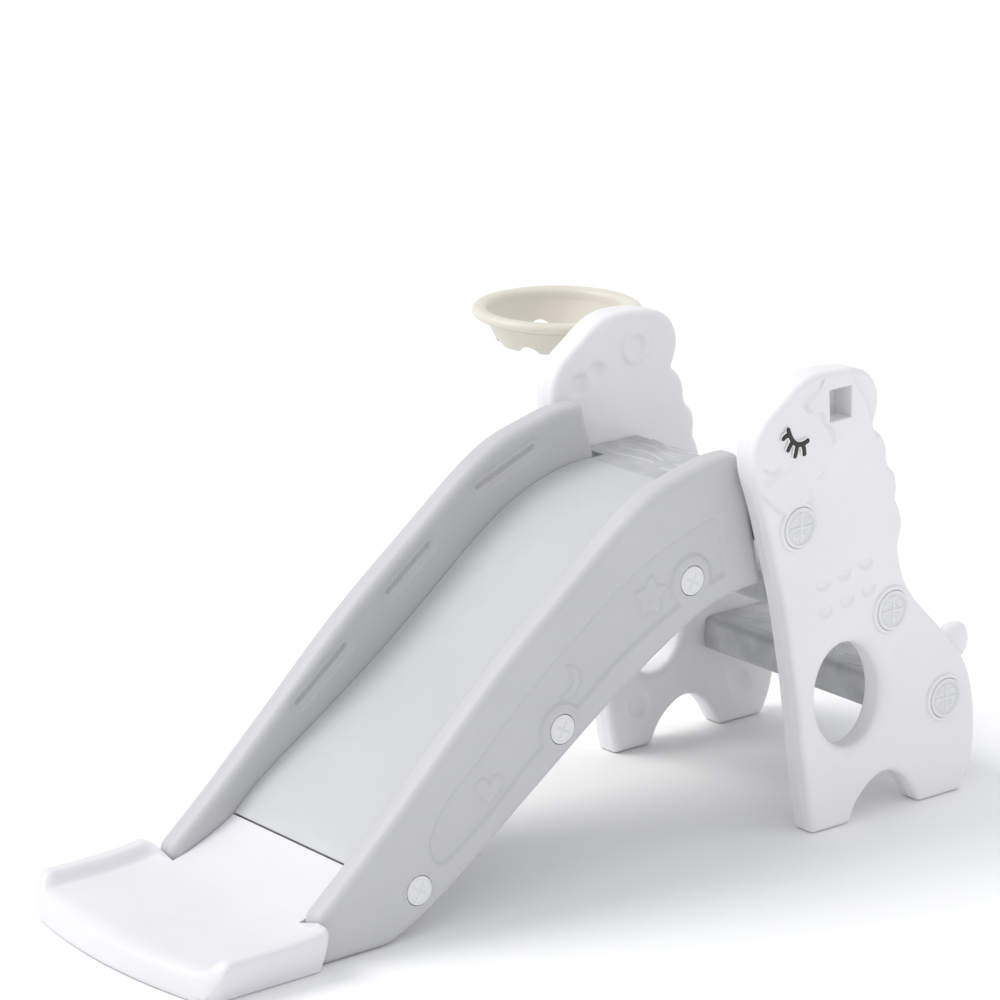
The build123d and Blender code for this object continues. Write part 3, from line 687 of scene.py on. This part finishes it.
def compass(share, angle):
    """Relief of a large cap: a flat rim, a dish inside it, a raised cross, petals between its arms."""
    lift = -2.4 * ease(0.86 - share, 0.06)
    x, y = share * np.cos(angle), share * np.sin(angle)
    arm = np.minimum(np.abs(x), np.abs(y))
    reach = ease(0.74 - share, 0.08)
    lift += 2.5 * ease(0.085 - arm, 0.05) * reach
    petal = np.hypot(np.abs(x) - 0.33, np.abs(y) - 0.33)
    lift += 1.8 * ease(0.19 - petal, 0.06) - 1.4 * ease(0.09 - petal, 0.05)
    return lift + 1.2 * ease(0.035 - np.abs(share - 0.72), 0.03)


def seat_sheets(centre, inner, outer, face, lift, side, steps=96):
    """A turned seat round a cap: up out of the hole, over a rounded collar and down flush with the face.
    The ring's section is carried once round."""
    turn = np.linspace(0, np.pi, 13)
    reach = (1 - np.cos(turn)) / 2
    radius = np.concatenate([[inner, inner], inner + (outer - inner) * reach, [outer, inner]])
    level = np.concatenate([[-6.0, -1.2], lift * np.sin(turn) ** 0.7 - 1.6 * ease(reach - 0.75, 0.25),
                            [-6.0, -6.0]])
    angle = np.linspace(0, 2 * np.pi, steps + 1)
    behind = centre[0] + radius[:, None] * np.cos(angle)
    height = centre[1] + radius[:, None] * np.sin(angle)
    across = np.broadcast_to(side * (face + level)[:, None], behind.shape)
    return [np.stack([across, behind, height], -1)]


for name, centre in BOLTS.items():
    caps, seats = [], []
    for side in SIDES.values():
        caps += disc_sheets(centre, BOLT_RADIUS, PANEL_OUTSIDE, BOLT_PROUD, 5.0, side, compass)
        caps += shank_sheets(centre, BOLT_SHANK, side * (PANEL_OUTSIDE - 5.5),
                             side * (PANEL_OUTSIDE - PANEL_THICKNESS - BOLT_REACH))
        seats += seat_sheets(centre, BOLT_RADIUS + 0.6, BOLT_RADIUS + 6.0, PANEL_OUTSIDE, 0.5, side)
    build(f"{name}_caps", caps, bolt_white, stands_for=[f"{name}_bolts"], crease=50)
    build(f"{name}_seats", seats, panel_white, crease=60)

# ---------------------------------------------------------------- chute rails
# Two deep hollow beams in grey, blow-moulded: a full round top edge to hold, a long sunken band outside
# broken by a raised collar at each screw, small raised pictures, and three grip slots inside.

RAIL_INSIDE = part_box("chute_rail_right")[0].x * 1000 - CHUTE_MIDDLE
RAIL_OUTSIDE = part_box("chute_rail_right")[1].x * 1000 - CHUTE_MIDDLE
RAIL_MIDDLE, RAIL_HALF = (RAIL_INSIDE + RAIL_OUTSIDE) / 2, (RAIL_OUTSIDE - RAIL_INSIDE) / 2
SCREWS = {"top": (-185.0, 374.0), "middle": (-399.0, 222.0), "bottom": (-627.0, 63.0)}
SCREW_RADIUS, SCREW_SHANK, SCREW_REACH, RAIL_RIM = 19.0, 8.0, 24.0, 13.0
BAND_DEEP, PICTURE_HIGH, MOON_HIGH = 4.0, 2.4, 2.6
HEART_PLACE, STAR_PLACE = (-514, 168), (-252, 365)
GRIP_DEEP, GRIP_HALF, DISH_DEEP, DISH_HALF = 6.0, 3.4, 1.6, 17

ridge = curve_through([(-106, 528), (-148, 527), (-191, 517), (-240, 503), (-290, 476), (-335, 443),
                       (-395, 396), (-460, 346), (-526, 290), (-590, 230), (-655, 169), (-718, 112),
                       (-779, 60)])[::-1]
rail_end = curve_through([(-62, 344), (-72, 400), (-86, 460), (-106, 528)])[::-1]
underside = curve_through([(-672, 0), (-638, 14), (-596, 38), (-533, 80), (-469, 127), (-404, 174),
                           (-339, 220), (-273, 263), (-206, 303), (-155, 328), (-108, 340), (-62, 344)])[::-1]
rail_ring = soft_ring([ridge, rail_end, underside, [(-779, 0)]], softness=6.0)
rail_spine = ((even(ridge, 201) + even(underside[::-1], 201)) / 2)[10:186]
LIFT_OFF = 0.93
ridge_run = stretch(rail_ring, ridge[int(0.05 * len(ridge))], ridge[int(LIFT_OFF * len(ridge))], 300)
end_run = stretch(rail_ring, ridge_run[-1], underside[int((1 - LIFT_OFF) * len(underside))], 90)
under_run = stretch(rail_ring, end_run[-1], underside[int(0.95 * len(underside))], 300)
toe_run = stretch(rail_ring, under_run[-1], ridge_run[0], 70)
rail_line = np.concatenate([run[:-1] for run in (ridge_run, end_run, under_run, toe_run)])
spine_run = even(rail_spine, 300)
rail_inner = np.concatenate([spine_run[:-1], np.repeat(spine_run[-1:], len(end_run) - 1, 0),
                             spine_run[::-1][:-1], np.repeat(spine_run[:1], len(toe_run) - 1, 0)])

BAND = curve_through([(-612, 119), (-597, 150), (-540, 205), (-470, 268), (-400, 322), (-330, 372),
                      (-262, 412), (-216, 431), (-171, 446), (-150, 451)], 8)
BAND_END = [(-141, 448), (-138, 428), (-134, 407), (-130, 389), (-126, 374), (-132, 368)]
BAND_LOW = curve_through([(-152, 362), (-208, 341), (-255, 319), (-326, 278), (-370, 244), (-439, 197),
                          (-505, 142), (-540, 116), (-573, 94), (-590, 87), (-606, 98)], 8)
BAND_LOOP = np.concatenate([BAND, BAND_END, BAND_LOW])
round_turn = np.linspace(0, 2 * np.pi, 61)[:-1]
HEART = np.stack([16 * np.sin(round_turn) ** 3,
                  13 * np.cos(round_turn) - 5 * np.cos(2 * round_turn) - 2 * np.cos(3 * round_turn)
                  - np.cos(4 * round_turn)], 1) * 1.4 + HEART_PLACE
star_radius = 23 + 5.5 * np.cos(5 * round_turn)
STAR = np.stack([np.sin(round_turn), np.cos(round_turn)], 1) * star_radius[:, None] + STAR_PLACE
GRIPS = (((-580, 214), (-504, 274)), ((-433, 333), (-367, 383)), ((-284, 446), (-193, 483)))


def rail_outer_face(points):
    """Relief of a rail's outside: the sunken band, islands and seats at the screws, a raised heart, moon
    and star."""
    collar = np.min([np.linalg.norm(points - c, axis=-1) for c in SCREWS.values()], axis=0)
    band = ease(depth_inside(points, BAND_LOOP) + 1.0, 4.5) * (1 - ease(35 - collar, 4.0))
    lift = -BAND_DEEP * band
    lift += PICTURE_HIGH * ease(depth_inside(points, HEART) + 0.8, 3.0)
    lift += PICTURE_HIGH * ease(depth_inside(points, STAR) + 0.8, 3.0)
    lift -= 1.5 * ease(8.0 - np.linalg.norm(points - STAR_PLACE, axis=-1), 3.0)
    moon_out = 22 - np.linalg.norm(points - (-388, 281), axis=-1)
    moon_in = np.linalg.norm(points - (-399, 284), axis=-1) - 18
    lift += MOON_HIGH * ease(np.minimum(moon_out, moon_in) + 0.5, 3.0)
    lift -= 6.0 * (1 - ease(collar - SCREW_RADIUS - 1.0, 4.0))
    return lift - 0.7 + 0.35 * np.sin(points[..., 0] / 41) * np.cos(points[..., 1] / 33)


def rail_inner_face(points):
    """Relief of a rail's inside: each grip slot is a narrow rounded groove in a shallow dish."""
    lift = np.full(points.shape[:-1], -0.5)
    for grip in GRIPS:
        gap = beside(points, grip)[0]
        lift -= DISH_DEEP * ease(DISH_HALF - gap, 9.0) + GRIP_DEEP * np.exp(-(gap / GRIP_HALF) ** 4)
    return lift


rail_grey = moulded_plastic("rail_grey", (0.565, 0.565, 0.58), (0.70, 0.70, 0.71), 0.44, edge=0.4,
                            scuff=0.5)
for name, side in SIDES.items():
    sheets = plate_sheets(rail_line, rail_inner, RAIL_MIDDLE, RAIL_HALF, side, rail_outer_face,
                          rail_inner_face, RAIL_RIM, outer_rows=36, inner_rows=60, crowd=1.0)
    build(f"chute_rail_{name}_shell", sheets, rail_grey, stands_for=[f"chute_rail_{name}"],
          crease=50)

# ---------------------------------------------------------------- rail screws
# Flat round screw heads with a cross recess, two at each of three places, through the rails into bushes
# in the board's ribs and the tray. The rail has a raised collar round each.

screw_white = moulded_plastic("screw_white", (0.78, 0.78, 0.80), (0.9, 0.9, 0.9), 0.3, pebble=0.2, swell=0.2,
                              edge=0.5, scuff=0.5)


def cross_recess(share, angle):
    """Relief of a screw head: a sunken cross and a fine ring near the edge."""
    x, y = share * np.cos(angle + 0.5), share * np.sin(angle + 0.5)
    arm = np.minimum(np.abs(x), np.abs(y))
    lift = -1.3 * ease(0.09 - arm, 0.05) * ease(0.62 - share, 0.06)
    return lift - 0.5 * ease(0.03 - np.abs(share - 0.8), 0.03)


for name, centre in SCREWS.items():
    heads, seats = [], []
    for side in SIDES.values():
        heads += disc_sheets(centre, SCREW_RADIUS, RAIL_OUTSIDE, 0.9, 5.5, side, cross_recess, rings=30)
        heads += shank_sheets(centre, SCREW_SHANK, side * (RAIL_OUTSIDE - 5.6),
                              side * (RAIL_INSIDE - SCREW_REACH))
        lift, reach = (0.0, 6.0) if name == "bottom" else (0.6, 10.0)
        seats += seat_sheets(centre, SCREW_RADIUS + 0.9, SCREW_RADIUS + reach, RAIL_OUTSIDE - 0.5, lift,
                             side)
    build(f"rail_screws_{name}_heads", heads, screw_white, stands_for=[f"rail_screws_{name}"],
          crease=50)
    build(f"rail_collars_{name}", seats, rail_grey, crease=60)

# ---------------------------------------------------------------- slide board
# The sliding surface is one smooth grey moulding between the rails; the CAD shape is right, so it keeps
# its node. Sliding has polished it, with faint streaks that run downhill.

board_grey = moulded_plastic("board_grey", (0.57, 0.58, 0.595), (0.74, 0.74, 0.75), 0.3, pebble=0.18,
                             swell=0.6, edge=0.2, scuff=0.55, dust=0.05)
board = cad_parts["slide_board"]
board.data.materials.clear()
board.data.materials.append(board_grey)

# ---------------------------------------------------------------- exit tray
# A wide white pan on the floor: its tongue runs up between the rails to the board, low lips guard both
# sides and fade out at the bowed, rounded nose. The sides lean inwards towards the floor.

TRAY_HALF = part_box("exit_tray")[1].x * 1000 - CHUTE_MIDDLE
TRAY_NOSE, TRAY_WIDE_FROM, TRAY_BOW, TRAY_CORNER = -980.0, -782.0, 27.0, 32.0
TONGUE_HALF, LIP = 133.5, 15.0
NOSE_FROM, NOSE_LONG, NOSE_CREASE, BOW_FROM, HEEL = -935.0, 45.0, 9.0, -900.0, 6.0
tray_top = curve_through([(-600, 109), (-640, 84), (-664, 66)], 2)
tray_run = curve_through([(-687, 88), (-711, 75), (-742, 61), (-773, 50), (-805, 43.5), (-845, 40.5),
                          (-890, 40), (-935, 40)], 2)
rows_behind = np.concatenate([np.linspace(-598, -664, 14), np.linspace(-686.9, -781.7, 44),
                              -782 - 12 * (1 - np.cos(np.linspace(0, np.pi / 2, 9))),
                              np.linspace(-797, NOSE_FROM, 56),
                              NOSE_FROM - NOSE_LONG * np.sin(np.linspace(0, np.pi / 2, 26)[1:])])
top_line = np.concatenate([tray_top, tray_run])[::-1]
top_height = np.interp(rows_behind, top_line[:, 0], top_line[:, 1])
nose = np.clip((NOSE_FROM - rows_behind) / NOSE_LONG, 0, 1)
top_height = np.where(nose > 0, NOSE_CREASE + 31 * np.sqrt(np.clip(1 - nose**3.2, 0, 1)), top_height)
floor_line = curve_through([(-690, 0), (-658, 12), (-628, 29), (-598, 54)], 2)
base_height = np.interp(rows_behind, floor_line[:, 0], floor_line[:, 1], left=0.0)
base_height = np.where(nose > 0, NOSE_CREASE - NOSE_CREASE * np.sqrt(np.clip(1 - nose**14, 0, 1)),
                       base_height)
in_corner = np.clip((TRAY_CORNER - (rows_behind - TRAY_NOSE)) / TRAY_CORNER, 0, 1)
half_width = TRAY_HALF - TRAY_CORNER * (1 - np.sqrt(1 - (0.93 * in_corner) ** 2))
in_heel = np.clip(1 - (TRAY_WIDE_FROM - rows_behind) / 12, 0, 1)
half_width -= 12 * (1 - np.sqrt(1 - in_heel**2))
half_width = np.where(rows_behind > TRAY_WIDE_FROM, TONGUE_HALF, half_width)
wide = ease(TRAY_WIDE_FROM + 0.01 - rows_behind, 0.001)
lip = LIP * wide * ease(rows_behind + 978, 46.0) * (1 - 0.25 * in_heel**2)
soft = np.where(wide > 0, np.minimum(8.0, 0.42 * (top_height + lip - base_height)), 0.6)
lean_in = 15.0 * wide


def tray_sheet():
    """Half of the tray's section at every row: from the middle of the top out to the lip, round its crest,
    down the leaning side and back along the floor to the middle."""
    turn = np.linspace(0, np.pi / 2, 8)
    w, top, base = half_width[:, None], top_height[:, None], base_height[:, None]
    raised, bend, draft = lip[:, None], soft[:, None], lean_in[:, None]
    inner_foot = w - 37 * wide[:, None]
    flat = np.linspace(0, 1, 60)[None] * inner_foot
    climb = ease(np.linspace(0, 1, 11)[1:])[None]
    slope_x = inner_foot + np.linspace(0, 1, 11)[1:][None] * 20 * wide[:, None]
    crest_x = slope_x[:, -1:] + np.linspace(0, 1, 5)[1:][None] * (w - bend - slope_x[:, -1:])
    crest_z = np.broadcast_to(top + raised, crest_x.shape)
    round_x, round_z = w - bend + bend * np.sin(turn), top + raised - bend * (1 - np.cos(turn))
    thick = np.maximum(round_z[:, -1:] - base, 0)
    heel = np.minimum(HEEL, thick)
    drop = np.linspace(0, 1, 9)[1:][None]
    side_x, side_z = w - draft * drop**1.6, round_z[:, -1:] - (thick - heel) * drop
    heel_x = side_x[:, -1:] - HEEL * (1 - np.cos(turn[1:]))
    heel_z = side_z[:, -1:] - heel * np.sin(turn[1:])
    under_x = np.linspace(1, 0, 24)[1:][None] * heel_x[:, -1:]
    under_z = np.broadcast_to(base, under_x.shape)
    flat_z = np.broadcast_to(top, flat.shape)
    x = np.concatenate([flat, slope_x, crest_x, round_x[:, 1:], side_x, heel_x, under_x], 1)
    z = np.concatenate([flat_z, top + raised * climb, crest_z, round_z[:, 1:], side_z, heel_z, under_z], 1)
    ends = np.clip((rows_behind - BOW_FROM) / (TRAY_NOSE - BOW_FROM), 0, 1)[:, None] ** 2
    bow = TRAY_BOW * ends * np.minimum(x / TRAY_HALF, 1) ** 2
    behind = rows_behind[:, None] + bow
    return np.stack([x, behind, np.maximum(z, 0)], -1)


tray_half = tray_sheet()
tray_sheets = []
for mirror in (1, -1):
    half = tray_half * (mirror, 1, 1)
    tray_sheets.append(half)
    for row in (0, -1):
        end = half[row]
        spine = end * (0, 1, 0) + (0, 0, end[:, 2].mean())
        share = np.linspace(0, 1, 4)[:, None, None]
        tray_sheets.append(end * (1 - share) + spine * share)

tray_white = moulded_plastic("tray_white", (0.78, 0.775, 0.805), (0.87, 0.87, 0.88), 0.36, pebble=0.3,
                             edge=0.3, scuff=0.4, dust=0.04)
build("exit_tray_shell", tray_sheets, tray_white, stands_for=["exit_tray"], crease=55)

# ---------------------------------------------------------------- steps and platform
# Two hollow grey steps and the top platform span the gap between the panels, held by the large bolts.
# Their CAD shapes are right; moulded into each top are low waved treads that stop a foot slipping.

step_grey = moulded_plastic("step_grey", (0.47, 0.475, 0.485), (0.70, 0.70, 0.70), 0.5, edge=0.5, scuff=0.5,
                            dust=0.2)
tread_grey = moulded_plastic("tread_grey", (0.60, 0.605, 0.615), (0.75, 0.75, 0.75), 0.46, edge=0.7,
                             scuff=0.6, dust=0.1)
TREADS = {"lower_step": (168.0, 172.0, 276.0, 5), "upper_step": (309.0, 68.0, 164.0, 5),
          "top_platform": (452.0, -50.0, 22.0, 4)}
TREAD_REACH, TREAD_HALF, TREAD_HIGH = 150.0, 2.2, 1.3
for node_name, (top, first, last, count) in TREADS.items():
    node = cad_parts[node_name]
    node.data.materials.clear()
    node.data.materials.append(step_grey)
    treads = []
    for i, middle in enumerate(np.linspace(first, last, count)):
        for start, end in ((-TREAD_REACH, -60), (-42, 42), (60, TREAD_REACH)):
            across = np.linspace(start, end, 90)
            line = middle + 5.0 * np.sin(across / 17 + i * 1.3)
            run = np.minimum(across - start, end - across)
            narrow = np.sqrt(1 - np.clip(1 - run / TREAD_HALF / 2, 0, 1) ** 2)[:, None]
            turn = np.linspace(0, np.pi, 9)
            behind = line[:, None] + TREAD_HALF * narrow * np.cos(turn)
            height = top - 0.3 + TREAD_HIGH * narrow * np.sin(turn)
            upper = np.stack([np.broadcast_to(across[:, None], behind.shape), behind, height], -1)
            lower = upper * (1, 1, 0) + (0, 0, top - 0.6)
            treads += [upper, lower, np.stack([upper[:, 0], lower[:, 0]]),
                       np.stack([upper[:, -1], lower[:, -1]])]
    build(f"{node_name}_treads", treads, tread_grey)

# ---------------------------------------------------------------- bushes
# Threaded bushes moulded into the ends of the steps, the board's ribs and the tray; they keep their CAD
# shape, in a darker grey plastic.

bush_grey = moulded_plastic("bush_grey", (0.42, 0.42, 0.43), (0.55, 0.55, 0.55), 0.55, pebble=0.6, edge=0.6)
for node_name in [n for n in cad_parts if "_bushes" in n]:
    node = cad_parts[node_name]
    node.data.materials.clear()
    node.data.materials.append(bush_grey)

# ---------------------------------------------------------------- basketball hoop
# A cream hoop moulded in one piece: rolled rim, thin skirt that narrows to a scalloped lower edge with a
# bead near its top, and a square arm that plugs into the socket of the left panel.

hoop_low, hoop_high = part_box("hoop")
HOOP_RADIUS = 117.0
HOOP_ACROSS = hoop_low.x * 1000 - CHUTE_MIDDLE + HOOP_RADIUS
HOOP_BEHIND = (hoop_low.y + hoop_high.y) * 500 - FOOT_TIP
HOOP_TOP, HOOP_DEEP = hoop_high.z * 1000, 50.0
NOTCH_DEEP, NOTCHES = 9.0, 8
SKIRT_TOP, SKIRT_FOOT, SKIRT_WALL, SKIRT_FROM, RIM_ROLL = 97.0, 81.0, 2.6, 14.5, 6.5


def hoop_sheet():
    """The hoop's closed section carried once round: over the rolled rim, down the skirt's outside, round
    its foot and up the inside. The foot rises in a notch eight times a turn."""
    angle = np.linspace(0, 2 * np.pi, 385)
    wave = np.clip(np.cos(NOTCHES * (angle - np.pi / 8)), 0, 1) ** 0.8
    foot = HOOP_DEEP - NOTCH_DEEP * wave
    roll = np.linspace(np.pi * 0.5, -np.pi * 0.42, 15)
    rim_radius = np.concatenate([[SKIRT_TOP, SKIRT_TOP + 3], HOOP_RADIUS - RIM_ROLL + RIM_ROLL * np.cos(roll),
                                 [SKIRT_TOP + 4]])
    rim_down = np.concatenate([[3.5, 0.6], RIM_ROLL - RIM_ROLL * np.sin(roll), [13.5]])
    share = np.linspace(0, 1, 22)
    bead = 1.1 * np.exp(-((share - 0.16) / 0.05) ** 2)
    skirt_down = SKIRT_FROM + share[:, None] * (foot - SKIRT_FROM)
    narrowing = ((skirt_down - SKIRT_FROM) / (HOOP_DEEP - SKIRT_FROM)) ** 1.15
    outer = SKIRT_TOP + 0.6 - (SKIRT_TOP - SKIRT_FOOT) * narrowing
    tip = np.linspace(0, np.pi, 7)[1:-1][:, None]
    foot_radius = outer[-1] - SKIRT_WALL / 2 + SKIRT_WALL / 2 * np.cos(tip)
    foot_down = foot + SKIRT_WALL / 2 * np.sin(tip) - SKIRT_WALL / 2
    inner_down = skirt_down[::-1]
    radius = np.concatenate([np.repeat(rim_radius[:, None], len(angle), 1), outer + bead[:, None],
                             foot_radius, (outer - SKIRT_WALL)[::-1], np.full((1, len(angle)), SKIRT_TOP - SKIRT_WALL),
                             np.full((1, len(angle)), rim_radius[0])])
    down = np.concatenate([np.repeat(rim_down[:, None], len(angle), 1), skirt_down, foot_down, inner_down,
                           np.full((1, len(angle)), 7.0), np.full((1, len(angle)), rim_down[0])])
    return np.stack([HOOP_ACROSS + radius * np.cos(angle), HOOP_BEHIND + radius * np.sin(angle),
                     HOOP_TOP - down], -1)


def arm_sheets():
    """The square arm: a rounded square carried from the skirt into the socket, hollow and open at its end,
    with a closed face where it meets the skirt."""
    turn = np.linspace(0, 2 * np.pi, 97)
    middle = np.array([(SOCKET_LOW[0] + SOCKET_HIGH[0]) / 2, (SOCKET_LOW[1] + SOCKET_HIGH[1]) / 2])
    half = (np.array(SOCKET_HIGH) - SOCKET_LOW) / 2 - 0.5
    power = np.abs(np.stack([np.cos(turn), np.sin(turn)], 1)) ** 0.22
    square = power * np.sign(np.round(np.stack([np.cos(turn), np.sin(turn)], 1), 9))
    start, end = HOOP_ACROSS + SKIRT_FOOT + 4.0, -(PANEL_OUTSIDE - SOCKET_DEEP + 2)
    outer, inner = middle + square * half, middle + square * (half - 3.0)
    tip = np.stack([wall_sheet(outer, end, end, 2)[0], wall_sheet(inner, end, end, 2)[0]])
    return [wall_sheet(outer, start, end, 30), tip, wall_sheet(inner, end, start + 20, 10),
            cap_sheet(inner, start + 20, 4), cap_sheet(outer, start, 4)]


hoop_cream = moulded_plastic("hoop_cream", (0.73, 0.69, 0.60), (0.82, 0.79, 0.72), 0.38, pebble=0.3, edge=0.5,
                             scuff=0.4, dust=0.06)
build("hoop_shell", [hoop_sheet(), *arm_sheets()], hoop_cream, body="hoop", stands_for=["hoop"],
      crease=45)
